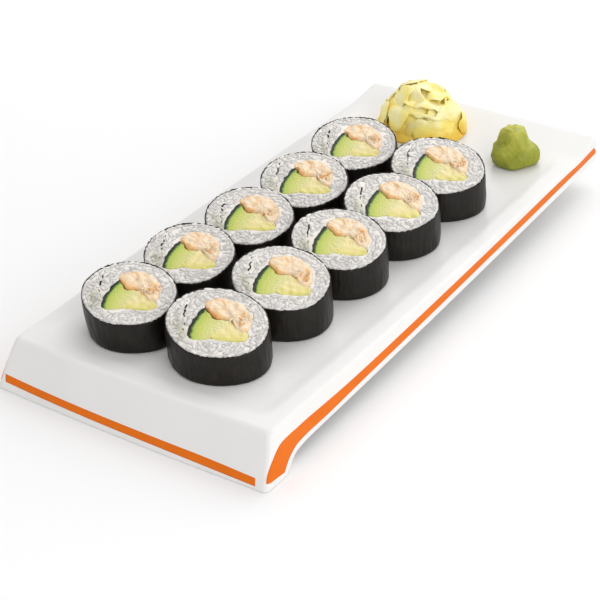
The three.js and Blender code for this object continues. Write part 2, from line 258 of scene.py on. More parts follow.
# camera axes: looks along the azimuth, pitched down, then rolled about its own line of sight
def makeCamera():
    azimuth, down, roll = (math.radians(view[key]) for key in ("azimuth", "down", "roll"))
    level = Vector((math.sin(azimuth), math.cos(azimuth), 0))
    right = Vector((math.cos(azimuth), -math.sin(azimuth), 0))
    ahead = math.cos(down) * level - math.sin(down) * Vector((0, 0, 1))
    up = math.sin(down) * level + math.cos(down) * Vector((0, 0, 1))
    axes = (
        math.cos(roll) * right + math.sin(roll) * up,
        -math.sin(roll) * right + math.cos(roll) * up,
        -ahead,
    )
    camera = newObject("camera", bpy.data.cameras.new("camera"))
    camera.data.lens = view["lens"]
    camera.data.sensor_width = 36
    camera.data.clip_start = 0.05
    camera.data.clip_end = 20
    place = Matrix.Translation(Vector(view["place"]) * 0.001)
    camera.matrix_world = place @ Matrix(axes).transposed().to_4x4()
    bpy.context.scene.camera = camera


makeCamera()

# metres and watts: a wide window behind, and a weak fill from the right
light = {
    "dome": 0.74,
    "boxes": {
        "window": {"at": (-0.2, 1.75, 1.65), "size": 2.4, "watts": 28},
        "fill": {"at": (1.35, -0.5, 0.62), "size": 1.2, "watts": 9},
    },
}


def makeLight():
    world = bpy.data.worlds.new("studio")
    world.use_nodes = True
    background = world.node_tree.nodes["Background"]
    background.inputs["Color"].default_value = (1, 1, 1, 1)
    background.inputs["Strength"].default_value = light["dome"]
    bpy.context.scene.world = world
    for name, values in light["boxes"].items():
        data = bpy.data.lights.new(name, "AREA")
        data.shape = "DISK"
        data.size = values["size"]
        data.energy = values["watts"]
        box = newObject(name, data)
        box.location = values["at"]
        box.rotation_euler = (-box.location).to_track_quat("-Z", "Y").to_euler()
    bpy.context.scene.view_settings.view_transform = "Standard"


makeLight()


# matt paper sweep: near-white, with a tone that drifts by a percent or two
paper = {
    "name": "matt white paper",
    "cloud": (3.0, 2.0),
    "tones": ((0, "#f3f3f3"), (1, "#f5f5f5")),
    "rough": 0.9,
    "specular": 0.1,
}


def makeFloor():
    mesh = bpy.data.meshes.new("floor")
    far = 4.0  # metres to each side
    corners = [(-far, -far, 0), (far, -far, 0), (far, far, 0), (-far, far, 0)]
    mesh.from_pydata(corners, [], [(0, 1, 2, 3)])
    mesh.materials.append(newMaterial(paper))
    floor = newObject("floor", mesh)


makeFloor()

print("tray")

tray = {
    "length": 348.0,
    "width": 153.8,  # between the long edges, at both ends
    "height": 25.0,
    "toe": 12.0,  # how far the front face runs out below its bend
    "ridgeBow": 0.7,
    "toeBow": 1.2,
    "backBow": 0.8,
    "bowFades": (2.0, 16.0),  # the front's bow, between these y
    "backBowFrom": (14.0, 2.0),  # the back's, between these distances from the back
    "sideBow": 2.4,
    "sideBowAt": 150.0,
    "flare": 0.156,  # the sides lean out by this much per unit down
    "splay": {"out": 1.8, "depth": 5.0, "run": 30.0},  # more so at the front corners
    "backLean": 0.17,  # the back edge leans in
    "corner": 3.0,
    "cornerGrows": {"by": 5.0, "over": (1.0, 9.0)},  # rounder further in
    "ridge": 3.5,  # radius of the front bend
    "edge": 2.0,  # radius of the side and back edges
    "rim": 7.5,
    "sink": 0.8,
    "sinkRun": 9.0,
    "level": (290.0, 306.0),  # the field comes up level with the rim between these y
    "lip": {"at": 309.0, "slope": 0.16, "fillet": 3.0, "fades": 9.0},  # the top turns up at the back
    "wall": 6.0,
    "footEdge": 1.4,  # the foot's front edge is bevelled
    "lowEdge": 1.2,  # radii of the wall's lower edge outside and inside, and of the cove above
    "innerEdge": 1.0,
    "cove": 2.0,
    "bandFront": 18.2,
    "bandBack": 9.6,
    "bandBend": 1.4,  # how fast it gets shallower
    "footBend": 2.2,  # and the foot
    "footAt": (3.6, 19.0),  # the side's foot ends and its band begins
    "rearFoot": {"y": 276.0, "breadth": 12.0, "width": 116.0, "corner": 4.0, "top": 19.0},
    "stripe": {"proud": 0.05, "buried": 0.25},
    "stripeAt": {"depth": 10.0, "toe": 6.0},  # its mean depth, and how far the front is out there
}
tray["back"] = tray["length"] - tray["toe"] - tray["toeBow"] - tray["backBow"]
trayOrigin = np.array([0.0, tray["toe"] + tray["toeBow"] - tray["length"] / 2, tray["height"]])


# half the tray's breadth: an arc of a parabola along y, wider with depth, and splayed at the
# front by a share that nears 1 with depth
def halfWidth(y, depth):
    reach = (y - tray["sideBowAt"]) / (tray["back"] - tray["sideBowAt"])
    splay = tray["splay"]
    out = splay["out"] * (1 - np.exp(-depth / splay["depth"])) * (1 - smooth(0, splay["run"], y))
    return tray["width"] / 2 + tray["sideBow"] * (1 - reach * reach) + depth * tray["flare"] + out


# A point of the tray's outline, drawn in by inset, at a depth under the rim: the corner
# between a middle rectangle's edge and an arc of the corner radius. A column is its share of
# the half width, its share of the length, and the way out as x and y.
def outlineAt(column, inset, depth):
    across, along, nx, ny = column
    inset, depth = np.broadcast_arrays(np.asarray(inset, float), np.asarray(depth, float))
    half = tray["width"] / 2
    grows = tray["cornerGrows"]
    rounder = tray["corner"] + grows["by"] * smooth(*grows["over"], inset)
    radius = np.minimum(rounder, np.maximum(half - inset, 0))
    front = -tray["toe"] / (tray["height"] - tray["footEdge"]) * depth + inset + radius
    back = tray["back"] - tray["backLean"] * (depth - tray["edge"]) - inset - radius
    y = front + along * (back - front)
    x = across * np.maximum(halfWidth(y, depth) - inset - radius, 0) + nx * radius
    down = depth / tray["height"]
    bow = tray["ridgeBow"] + (tray["toeBow"] - tray["ridgeBow"]) * down
    y = y + ny * radius
    flat = 1 - across**2
    near, far = (tray["back"] - distance for distance in tray["backBowFrom"])
    behind = flat * tray["backBow"] * smooth(near, far, y)
    return x, y - flat * bow * (1 - smooth(*tray["bowFades"], y)) + behind


# height gained behind the lip's start: a straight slope that begins as a hyperbola
def lipRise(y):
    lip = tray["lip"]
    behind = y - lip["at"]
    return lip["slope"] * (behind + np.hypot(behind, lip["fillet"])) / 2


# the rim is level, the field inside it lies a little lower, and both turn up at the back, a rise
# that the walls lose on their way down
def topHeight(y, inset, depth):
    level = smooth(*tray["level"], y)
    field = smooth(tray["rim"], tray["rim"] + tray["sinkRun"], inset) * (depth < 3)
    rise = lipRise(y) * (1 - smooth(0, tray["lip"]["fades"], depth))
    return -depth - tray["sink"] * field * (1 - level) + rise


# depth of the side's lower edge: the foot's full height, a curve up behind it, then a band
# that gets shallower to the back
def bandDepth(y):
    start, end = tray["footAt"]
    back = np.clip((y - end) / (tray["back"] - end), 0, 1)
    band = tray["bandBack"] + (tray["bandFront"] - tray["bandBack"]) * (1 - back) ** tray["bandBend"]
    t = np.clip((y - start) / (end - start), 0, 1)
    curve = tray["height"] + (tray["bandFront"] - tray["height"]) * (1 - (1 - t) ** tray["footBend"])
    return np.where(y < start, tray["height"], np.where(y < end, curve, band))


# columns round the tray: right side, back, left side and front, with an arc at each corner
def trayColumns():
    side = np.concatenate([np.linspace(0, 0.09, 26), np.linspace(0.09, 1, 100)[1:]])
    arc = np.radians(np.linspace(0, 90, 9))[1:-1]
    cos, sin = np.cos(arc), np.sin(arc)
    end = np.linspace(1, -1, 36)
    parts = [
        (1, side, 1, 0),
        (1, 1, cos, sin),
        (end, 1, 0, 1),
        (-1, 1, -sin, cos),
        (-1, side[::-1], -1, 0),
        (-1, 0, -cos, -sin),
        (-end, 0, 0, -1),
        (1, 0, sin, -cos),
    ]
    return np.concatenate([np.array(np.broadcast_arrays(*part), float) for part in parts], 1)


# The tray's skin: rows from the field's middle line out over the rim, round its edge, down
# the wall, under it, up its inside and back to the middle below.
def traySkin():
    column = trayColumns()
    _, along, nx, ny = column
    frontness = np.where(along < 0.5, ny**2, 0)
    backness = np.where(along > 0.5, ny**2, 0)
    lean = tray["flare"] * nx**2 + tray["toe"] / tray["height"] * frontness
    lean = lean - tray["backLean"] * backness
    turn = math.pi / 2 - np.arctan(lean)
    radius = tray["edge"] + (tray["ridge"] - tray["edge"]) * frontness
    tangent = radius * np.tan(turn / 2)
    low = np.full(column.shape[1], tray["height"])
    for _ in range(14):  # the wall's foot moves with its depth, which hangs on its place
        low = bandDepth(outlineAt(column, 0, low)[1])
    rows = []

    def row(inset, depth):
        rows.append((inset + 0 * low, depth + 0 * low))

    middle = tray["width"] / 2 + tray["sideBow"]
    field = (middle, 58, 36, 22, 15, 12.4, 11.8, 11.1, 10.4, 9.7, 9, 8.3, 7.6, 7)
    for inset in field:
        row(inset, 0)
    row((field[-1] + tangent) / 2, 0)
    for share in np.linspace(0, 1, 10):
        angle = turn * share
        depth = radius * (1 - np.cos(angle))
        row(tangent - radius * np.sin(angle) + lean * depth, depth)
    bend = rows[-1][1]
    edge = tray["lowEdge"]
    for share in (0.2, 0.45, 0.7, 0.9):
        row(0, bend + (low - edge - bend) * share)
    for angle in np.radians([0, 25, 50, 70, 90]):
        row(edge * (1 - math.cos(angle)), low - edge * (1 - math.sin(angle)))
    wall, inner = tray["wall"], tray["innerEdge"]
    for angle in np.radians([0, 30, 60, 90]):
        row(wall - inner + inner * math.sin(angle), low - inner + inner * math.cos(angle))
    roof = wall + tray["sink"]
    start = low - inner
    for share in (0.35, 0.7):
        row(wall, start + (np.minimum(roof + tray["cove"], start) - start) * share)
    cove = np.minimum(tray["cove"], start - roof)
    for angle in np.radians([0, 30, 60, 90]):
        row(wall + cove * (1 - math.cos(angle)), roof + cove * (1 - math.sin(angle)))
    for inset in (16, 40, middle + roof * tray["flare"]):
        row(inset, roof)
    inset, depth = (np.array(part) for part in zip(*rows))
    x, y = outlineAt(column, inset, depth)
    points = np.stack([x, y, topHeight(y, inset, depth)], -1) + trayOrigin
    return points, gridFaces(len(rows), column.shape[1]), {}


# the rear foot: a bar with rounded ends and edges, its rows run from underside to roof, each a
# share of the bar's breadth and a height; the first and last draw in to a line
def rearFoot():
    foot = tray["rearFoot"]
    corner = foot["corner"]
    turn = (np.arange(64) + 0.5) * math.pi / 32
    way = np.stack([np.cos(turn), np.sin(turn)], -1)
    middle = np.array([foot["width"], foot["breadth"]]) / 2 - corner
    line = 0.9 * (np.sign(way) * middle + way * corner)[:, 0]
    points = []
    for share, z in ((0.9, 0.0), (0.95, 0.06), (0.985, 0.35), (1.0, 1.2), (1.0, foot["top"])):
        flat = np.sign(way) * middle + way * corner * share
        points.append(np.column_stack([flat, np.full(len(turn), z)]))
    ends = [np.column_stack([line, 0 * line, np.full(len(turn), z)]) for z in (0.0, foot["top"])]
    points = np.array([ends[0], *points, ends[1]])
    points += np.array([0, foot["y"] + trayOrigin[1], 0.0])
    return points, gridFaces(len(points), len(turn)), {}


# Glazed porcelain, slip cast: a clean near-white body under a clear hard glaze, which gives
# sharp soft-edged highlights; the glaze pools a little, so tone and gloss drift over 40 mm.
porcelain = {
    "name": "glazed porcelain",
    "cloud": (25.0, 3.0),
    "tones": ((0.3, "#e4e2e0"), (0.7, "#e8e6e4")),
    "rough": (0.22, 0.28),
    "grain": (90.0, 2.0, 0.03, 0.001),
    "specular": 0.2,
}
# Onglaze enamel: the orange bands are printed on the glaze and fired, so they stand a few
# hundredths of a millimetre proud and shine a little less than it.
enamel = {
    "name": "orange onglaze enamel",
    "cloud": (60.0, 4.0),
    "tones": ((0.3, "#dc6a10"), (0.7, "#e27014")),
    "rough": 0.4,
    "specular": 0.12,
}


# column of a point at a distance along the right side's foot line, negative in the corner's arc
def sideColumn(distance, side):
    radius = tray["corner"]
    angle = np.clip(-distance / radius, 0, math.pi / 2)
    at = tray["stripeAt"]
    span = tray["back"] - tray["backLean"] * at["depth"] + at["toe"] - 2 * radius
    along = np.clip(distance / span, 0, 1)
    return np.array([side + 0 * distance, along, side * np.cos(angle), -np.sin(angle)])


# a printed band: a thin sheet just proud of the wall, whose points are a grid of columns round
# the tray and depths, turned back under the glaze at its rims
def band(column, depth):
    stripe = tray["stripe"]
    sheets = []
    for inset, order in ((-stripe["proud"], 1), (stripe["buried"], -1)):
        spread = np.full_like(depth, inset)
        x, y = outlineAt(column, spread, depth)
        sheets.append(np.stack([x, y, topHeight(y, spread, depth)], -1)[::order] + trayOrigin)
    return shutStrip(np.concatenate(sheets))


# the side band's two edges as distance along the wall and depth: from its end at the foot they
# climb in a bend and then run back, ever closer to the rim
sideStripe = {
    "upper": (
        (-2.8, 20.9), (-2.9, 18.6), (-2.3, 15.6), (-0.9, 12), (1.6, 9.3), (4.8, 7.6), (10.7, 7.1),
        (26, 7.6), (65, 7.8), (124, 6.2), (182, 4.6), (235, 3.3), (290, 2.3), (330, 3.2),
    ),
    "lower": (
        (10.6, 21.8), (11.6, 20), (13.2, 18), (16.1, 16.1), (20.2, 14.8), (26.7, 14.5), (36, 14.4),
        (50, 14), (78, 12.5), (134, 10.4), (192, 8.4), (245, 7.1), (300, 5.9), (334, 6),
    ),
}


# both coordinates of points between a stripe's edges: this many along, and across
def between(stripe, along, across):
    upper, lower = (curveThrough(stripe[key], along, closed=False) for key in ("upper", "lower"))
    share = np.linspace(0, 1, across)[:, None]
    return [upper[:, k] + (lower[:, k] - upper[:, k]) * share for k in (0, 1)]


def sideBand(side):
    distance, depth = between(sideStripe, 260, 15)
    return band(sideColumn(distance, side), depth)


# the front band's edges: share of the half width and depth
frontStripe = {
    "upper": ((-1, 17.4), (-0.7, 18.1), (-0.3, 18.6), (0.2, 18.8), (0.6, 18.95), (0.95, 19.8)),
    "lower": ((-0.98, 20.8), (-0.69, 21.4), (-0.28, 21.9), (0.21, 22.2), (0.61, 22.6), (0.955, 23.1)),
}


def frontBand():
    across, depth = between(frontStripe, 90, 7)
    return band(np.array([across, 0 * across, 0 * across, 0 * across - 1]), depth)


finishPiece(newPiece("tray_body", [traySkin(), rearFoot()], newMaterial(porcelain)), "porcelain", "tray")
orange = newMaterial(enamel)
finishPiece(newPiece("tray_front_band", [frontBand()], orange), "porcelain")
finishPiece(newPiece("tray_side_band_right", [sideBand(1)], orange), "porcelain")
finishPiece(newPiece("tray_side_band_left", [sideBand(-1)], orange), "porcelain")

print("slices")

slice_ = {
    "nori": 0.4,  # how thick the seaweed is
    "tuck": 0.5,  # drawn in at its foot, and bulging half way up
    "bulge": 0.3,
    "wrinkles": (0.06, 0.14),  # of 2.2 and of 9 wide
    "ragged": (0.16, 0.2),  # its upper edge: five long waves, and short ones
    "dent": 0.7,  # depth of the dents in the sides
    "middle": (24.55, 23.85),  # radii that the fillings' outlines are drawn for
    "floor": tray["height"] - tray["sink"] + 0.3,
}
# each slice as x, y, radius along x, radius along y, height in its middle; the tops rise by
# fall per unit along x and y, and the feet stand lean further out
rowPlan = {
    "left": {
        "seed": 11,
        "fall": (-0.106, 0.153),
        "lean": (2.0, 0.4),
        "slices": (
            (-32.8, -123.3, 24.8, 22.9, 20.5),
            (-31.3, -76.3, 23.8, 23.7, 20.0),
            (-27.6, -28.7, 24.3, 23.5, 20.0),
            (-25.3, 19.6, 24.6, 24.1, 20.0),
            (-25.4, 70.1, 24.7, 24.3, 20.0),
        ),
    },
    "right": {
        "seed": 21,
        "fall": (-0.118, 0.156),
        "lean": (1.2, -0.7),
        "slices": (
            (20.4, -122.1, 26.6, 23.3, 20.1),
            (25.2, -75.5, 26.0, 23.05, 22.2),
            (28.8, -28.8, 25.7, 23.2, 22.2),
            (31.1, 18.7, 26.3, 23.8, 21.9),
            (31.3, 67.0, 27.0, 23.85, 21.8),
        ),
    },
}
fillings = {
    "cucumber": {
        "outline": (
            (-10.4, 4.8), (-7, 3.2), (-2.5, 1.4), (1.5, 3.2), (3.8, 2.2), (3.7, -4),
            (3.6, -9.5), (1, -13.4), (-5.2, -15.9), (-8.9, -9.2), (-10.3, -2),
        ),
        "middle": (-3.4, -4.5),
        "rise": -0.1,
        "round": 0.2,  # its top edge is rounded over this
    },
    "avocado": {
        "outline": (
            (2.6, 4.2), (8, 3), (12, 1.6), (15.4, 1.4), (17.8, -1.8),
            (14.2, -5.6), (9, -8.6), (3.2, -10.2), (2.4, -3),
        ),
        "middle": (9.0, -3.2),
        "rise": -0.12,
        "round": 0.3,
    },
    "seafood": {
        "outline": (
            (-11.4, 7.4), (-9.6, 12.2), (-5.4, 15.8), (0.5, 17.2), (6, 15.6), (10.6, 12), (13.8, 7),
            (14.6, 2.6), (11.8, 1.2), (8, 2.8), (4.8, 5), (1.2, 4.4), (-2.6, 2.6), (-7.2, 4.4),
        ),
        "middle": (0.6, 9.8),
        "rise": 0.5,
        "round": 1.2,
    },
}
noriTail = ((-22.2, 10.4), (-18.4, 2.6), (-14.8, -5.4), (-9.6, -13))
skinLine = ((-10.5, 5.4), (-10.4, -2), (-9.1, -9.2), (-7.2, -13.6), (-5.6, -16.4))


# one slice's own numbers: where it stands, its radii and the phase of its dents
def sliceSpec(row, number):
    plan = rowPlan[row]
    seed = plan["seed"] + number
    x, y, rx, ry, height = plan["slices"][number]
    state = (seed * 7919 + 17) * 16807 % 2147483647
    return {
        "name": f"{row}_{number + 1}",
        "seed": seed,
        "at": np.array([x, y]),
        "radii": (rx, ry),
        "stretch": np.array([rx, ry]) / slice_["middle"],
        "height": height,
        "fall": plan["fall"],
        "lean": np.array(plan["lean"]),
        "phase": 2 * math.pi * state / 2147483647,
    }


# radius of a slice: an oval, less shallow dents that fade out front and back
def sliceRadius(spec, angle):
    rx, ry = spec["radii"]
    oval = rx * ry / np.hypot(ry * np.cos(angle), rx * np.sin(angle))
    dent = 0.5 + 0.5 * np.sin(3 * angle + spec["phase"]) * np.cos(2 * angle + 2 * spec["phase"])
    return oval - slice_["dent"] * dent * np.abs(np.cos(angle))


def topOf(spec, x, y):
    return spec["height"] + spec["fall"][0] * x + spec["fall"][1] * y


# stands a slice's point (x, y on the cut face, z up) where the slice is, leaning with it
def standing(spec, x, y, z):
    low = 1 - z / topOf(spec, x, y)
    at, lean = spec["at"], spec["lean"]
    return np.stack([x + lean[0] * low + at[0], y + lean[1] * low + at[1], z + slice_["floor"]], -1)


# the seaweed round a slice: a ring swept round, wrinkled up its wall and ragged at its rim
def noriRing(spec):
    turn = allRound(260)
    levels = (0, 0.012, 0.03, 0.06, 0.11, *np.linspace(0.18, 0.9, 10), 0.96, 1.0)
    outside = [(h, 0.0) for h in levels] + [(1.0, 0.5), (1.0, 1.0)]
    inside = [(h, 1.0) for h in (0.97, 0.8, 0.4, 0.05, 0.0)]
    share, inward = (np.array(part)[:, None] for part in zip(*(outside + inside)))
    ring = sliceRadius(spec, turn)[None]
    angle = np.broadcast_to(turn, (len(share), len(turn)))
    around = np.stack([np.cos(angle) * 24, np.sin(angle) * 24], -1)
    high = share[..., None] * np.ones_like(around[..., :1])
    crease = waves(np.concatenate([around, 2.5 * high], -1), 2.2, spec["seed"])
    fold = waves(np.concatenate([around, 14 * high], -1), 9, spec["seed"] + 50)
    tuck = slice_["tuck"] * np.clip(1 - share / 0.08, 0, 1) ** 2
    bulge = slice_["bulge"] * np.sin(math.pi * share)
    fine, wide = slice_["wrinkles"]
    rough = (fine * crease + wide * fold) * smooth(0, 0.08, share) * smooth(1.25, 0.8, share)
    radius = ring + bulge - tuck + rough - slice_["nori"] * inward
    x, y = radius * np.cos(angle), radius * np.sin(angle)
    long, short = slice_["ragged"]
    ragged = long * np.sin(5 * angle + 3 * spec["phase"]) + short * waves(around, 2.6, spec["seed"] + 90)
    top = topOf(spec, x, y) + ragged - 0.05
    return standing(spec, x, y, share * top), gridFaces(len(share), len(turn), closedRows=True), {}


# the seaweed's inner end: a strip on edge along its line, sunk here and there under the rice
def noriStrip(spec):
    line = np.array(noriTail) * spec["stretch"]
    step = np.concatenate([[0], np.cumsum(np.linalg.norm(np.diff(line, axis=0), axis=1))])
    along = np.linspace(0, step[-1], 70)
    path = np.stack([np.interp(along, step, line[:, k]) for k in (0, 1)], -1)
    wander = 0.35 * waves(along[:, None], 6, spec["seed"] + 7)
    way = np.gradient(path, axis=0)
    way /= np.linalg.norm(way, axis=1, keepdims=True)
    side = np.stack([-way[:, 1], way[:, 0]], -1)
    path = path + side * wander[:, None]
    bold = smooth(8, 10, along) * (1 - smooth(16, 18, along))
    half = 0.16 + 0.22 * bold + 0.05 * waves(along[:, None], 3, spec["seed"] + 8)
    dip = -0.25 + 0.35 * waves(along[:, None], 4.5, spec["seed"] + 9) + 0.35 * bold
    loop = [(-1, 0.0), (-1, 0.5), (-1, 1.0), (1, 1.0), (1, 0.5), (1, 0.0)]
    points = []
    for sign, share in loop:
        at = path + side * (sign * half)[:, None]
        x, y = at[:, 0], at[:, 1]
        points.append(standing(spec, x, y, share * (topOf(spec, x, y) + dip)))
    return shutStrip(np.array(points))


def outlineOf(spec, name, count):
    return curveThrough(np.array(fillings[name]["outline"]) * spec["stretch"], count)


# how far the fillings reach from the slice's middle in each direction
def fillingReach(spec, turn):
    edges = np.concatenate([outlineOf(spec, name, 200) for name in fillings])
    angle, radius = polar(edges)
    grid = np.linspace(-math.pi, math.pi, 241)
    near = np.cos(angle[None] - grid[:, None]) > math.cos(0.07)
    reach = np.where(near, radius[None], 0).max(1)
    return np.interp((np.asarray(turn) + math.pi) % (2 * math.pi) - math.pi, grid, reach)


rice = {
    "grain": (4.9, 2.5, 2.1),
    "sizes": (0.88, 1.12),
    "spacing": 2.6,
    "jitter": 0.38,
    "clear": {"filling": 0.9, "wall": 2.2, "tail": 0.8},  # how far the grains' middles keep off
    "wallRow": {"spacing": 3.3, "inset": (0.9, 1.25)},  # the row of grains along the seaweed
    "upright": 0.3,  # share of the grains that stand on end
    "depth": (-0.7, -1.8),  # middles of the grains that lie and stand, from the cut
    "cut": {"over": 0.1, "sway": 0.12, "spread": (-0.12, 0.15), "sheared": 0.14},
    "core": -0.14,  # height of the paste between grains, from the cut
    "tones": (0.35, 1.0),
    "paste": 0.65,  # tone of the paste
    "stain": ((-14.5, -11), (-11.5, -13.5), (-8, -15.5)),  # where the cucumber has tinged it, with painted shade spread wider round it
}


# the rice's body: a ring between fillings and seaweed, its top a little under the grains'
def riceCore(spec):
    turn = allRound(120)
    inner = fillingReach(spec, turn) - 0.7
    outer = sliceRadius(spec, turn) - slice_["nori"] - 0.05
    top = [(share, 1.0) for share in (0, 0.1, 0.2, 0.3, 0.4, 0.5, 0.6, 0.7, 0.8, 0.88, 0.95, 1)]
    loop = [(0, 0.0), (0, 0.5)] + top + [(1, 0.9), (1, 0.5), (1, 0.0), (0.5, 0.0)]
    points = []
    for share, high in loop:
        radius = inner + share * (outer - inner)
        tuck = 1.0 * (1 - high) ** 8 * (share > 0.9)
        x, y = (radius - tuck) * np.cos(turn), (radius - tuck) * np.sin(turn)
        at = np.stack([x, y], -1)
        edges = 0.15 * (share > 0.99) + 0.15 * (share < 0.06)
        sunk = rice["core"] + 0.12 * waves(at, 2.4, spec["seed"] + 3) - edges
        points.append(standing(spec, x, y, high * (topOf(spec, x, y) + sunk)))
    points = np.array(points)
    shade = np.full(points.shape[:2], rice["paste"])
    stain = stainAt(spec, points[..., :2] - spec["at"])
    return points, gridFaces(*points.shape[:2], closedRows=True), {"shade": shade, "stain": stain}


# how far the rice is tinged: two bell curves across one line, a narrow one for the cucumber's
# stain and a wide, faint one of painted shade
def stainAt(spec, flat):
    away = alongLine(spec, flat, rice["stain"])
    return 0.5 * bell(away, 1.7) + 0.35 * bell(away, 7)


# one grain: rings along its length whose radius follows the root of 1 - t ** 2.4, bent a little
def grainShape():
    t = np.sin(np.linspace(-math.pi / 2, math.pi / 2, 8))
    turn = allRound(8)
    radius = np.sqrt(np.maximum(1 - np.abs(t) ** 2.4, 0))[:, None]
    long, wide, thick = rice["grain"]
    x = np.repeat(t[:, None], len(turn), 1) * long / 2
    y = radius * np.cos(turn) * wide / 2 + 0.25 * t[:, None] ** 2
    z = radius * np.sin(turn) * thick / 2
    return np.stack([x, y, z], -1).reshape(-1, 3), gridFaces(len(t), len(turn))


# where the grains lie: a jittered honeycomb in the ring of rice, and a row along the seaweed
def grainSpots(spec, draw):
    space = rice["spacing"]
    line = np.arange(-12, 13)
    i, j = (part.ravel() for part in np.meshgrid(line, line))
    comb = np.stack([space * (i + 0.5 * (j % 2)), space * 0.866 * j], -1)
    comb = comb + draw.normal(0, rice["jitter"], comb.shape)
    angle, radius = polar(comb)
    outer = sliceRadius(spec, angle) - slice_["nori"]
    tail = distanceTo(comb, np.array(noriTail) * spec["stretch"])
    clear, row = rice["clear"], rice["wallRow"]
    inside = (radius > fillingReach(spec, angle) + clear["filling"]) & (radius < outer - clear["wall"])
    comb = comb[inside & (tail > clear["tail"])]
    turn = np.arange(0, 2 * math.pi, row["spacing"] / 24)
    turn = turn + draw.normal(0, 0.02, len(turn))
    wall = sliceRadius(spec, turn) - slice_["nori"] - draw.uniform(*row["inset"], len(turn))
    return np.concatenate([comb, np.stack([wall * np.cos(turn), wall * np.sin(turn)], -1)])


# a slice's grains: each turned at random, lying along the seaweed or the fillings beside it,
# some on end, and all sheared at the cut
def riceGrains(spec):
    draw = np.random.default_rng(spec["seed"])
    shape, faces = grainShape()
    spots = grainSpots(spec, draw)
    angle, radius = polar(spots)
    outer = sliceRadius(spec, angle) - slice_["nori"]
    count = len(spots)
    near = smooth(2.8, 1.6, outer - radius) + smooth(2.4, 1.4, radius - fillingReach(spec, angle))
    along = draw.random(count) < near
    beside = angle + math.pi / 2 + draw.normal(0, 0.22, count)
    yaw = np.where(along, beside, draw.uniform(0, math.pi, count))
    onEnd = (draw.random(count) < rice["upright"]) & ~along
    pitch = np.where(onEnd, draw.uniform(0.9, 1.5, count), draw.normal(0, 0.16, count))
    roll = draw.uniform(0, 2 * math.pi, count)
    size = draw.uniform(*rice["sizes"], count)
    (cy, sy), (cp, sp), (cr, sr) = ((np.cos(by), np.sin(by)) for by in (yaw, pitch, roll))
    zero, one = np.zeros(count), np.ones(count)
    turnZ = np.array([[cy, -sy, zero], [sy, cy, zero], [zero, zero, one]]).transpose(2, 0, 1)
    turnY = np.array([[cp, zero, sp], [zero, one, zero], [-sp, zero, cp]]).transpose(2, 0, 1)
    turnX = np.array([[one, zero, zero], [zero, cr, -sr], [zero, sr, cr]]).transpose(2, 0, 1)
    place = np.einsum("nij,kj->nki", turnZ @ turnY @ turnX, shape) * size[:, None, None]
    lying, upright = rice["depth"]
    sunk = np.where(onEnd, upright, lying) + draw.uniform(-0.15, 0.25, count)
    x = place[..., 0] + spots[:, 0, None]
    y = place[..., 1] + spots[:, 1, None]
    r, a = np.hypot(x, y), np.arctan2(y, x)
    r = np.clip(r, fillingReach(spec, a) + 0.08, sliceRadius(spec, a) - slice_["nori"] - 0.02)
    x, y = r * np.cos(a), r * np.sin(a)
    top = topOf(spec, x, y)
    z = top + sunk[:, None] + place[..., 2]
    cut = rice["cut"]
    level = top + cut["over"] + cut["sway"] * waves(spots, 5, spec["seed"])[:, None]
    level = level + draw.uniform(*cut["spread"], count)[:, None]
    z = np.where(z > level, level + cut["sheared"] * (z - level), z)
    shade = np.broadcast_to(draw.uniform(*rice["tones"], count)[:, None], x.shape)
    stain = np.repeat(stainAt(spec, spots)[:, None], x.shape[1], 1)
    offsets = (np.arange(count) * len(shape))[:, None, None]
    faces = (faces[None] + offsets).reshape(-1, 4)
    return standing(spec, x, y, z), faces, {"shade": shade, "stain": stain}


# a filling: rings from its middle out to its outline over the top, down its wall to its foot
def fillingShell(spec, name, relief, columns=120):
    filling = fillings[name]
    outline = outlineOf(spec, name, columns)
    sway = np.stack([waves(outline, 5, spec["seed"] + 31), waves(outline, 5, spec["seed"] + 32)], -1)
    outline = outline + 0.3 * sway
    middle = np.array(filling["middle"]) * spec["stretch"]
    shares = (0, 0.12, 0.24, 0.36, 0.48, 0.58, 0.67, 0.75, 0.81, 0.86, 0.9, 0.935, 0.965, 0.985, 1)
    shares = np.array(shares)
    walls = np.array([0.96, 0.85, 0.5, 0.0])
    flat = middle + shares[:, None, None] * (outline - middle)
    edge = (1 - shares)[:, None] * np.linalg.norm(outline - middle, axis=1)
    x, y = flat[..., 0], flat[..., 1]
    drop = 0.7 * filling["round"] * np.clip(1 - edge / filling["round"], 0, 1) ** 2
    top = topOf(spec, x, y) + filling["rise"] + relief(flat, edge) - drop
    side = [standing(spec, outline[:, 0], outline[:, 1], top[-1] * h) for h in walls]
    foot = standing(spec, outline[:, 0] * 0 + middle[0], outline[:, 1] * 0 + middle[1], top[-1] * 0)
    points = np.concatenate([standing(spec, x, y, top), np.array(side), foot[None]])
    around = np.repeat(outline[None], len(walls), 0)
    flat = np.concatenate([flat, around, np.broadcast_to(middle, (1, columns, 2))])
    edge = np.concatenate([edge, np.zeros((len(walls) + 1, columns))])
    high = np.concatenate([top, top[-1] * walls[:, None], 0 * top[-1:]])
    place = np.concatenate([flat, high[..., None] - 18], -1)
    return points, gridFaces(len(points), columns), {"place": place, "edge": edge}


# how far each point lies from a line that is drawn for the middle size
def alongLine(spec, flat, line):
    shape = flat.shape[:-1]
    return distanceTo(flat.reshape(-1, 2), np.array(line) * spec["stretch"]).reshape(shape)


def cucumberShell(spec):
    def relief(flat, edge):
        skin = alongLine(spec, flat, skinLine)
        cut = 0.08 * waves(flat, 1.6, spec["seed"] + 1) + 0.12 * bell(skin, 1.4)
        return cut + 0.14 * waves(flat, 2.4, spec["seed"] + 2) * smooth(7, 11, skin)

    points, faces, values = fillingShell(spec, "cucumber", relief)
    skin = alongLine(spec, values["place"][..., :2], skinLine)
    return points, faces, {"place": values["place"], "skin": skin}


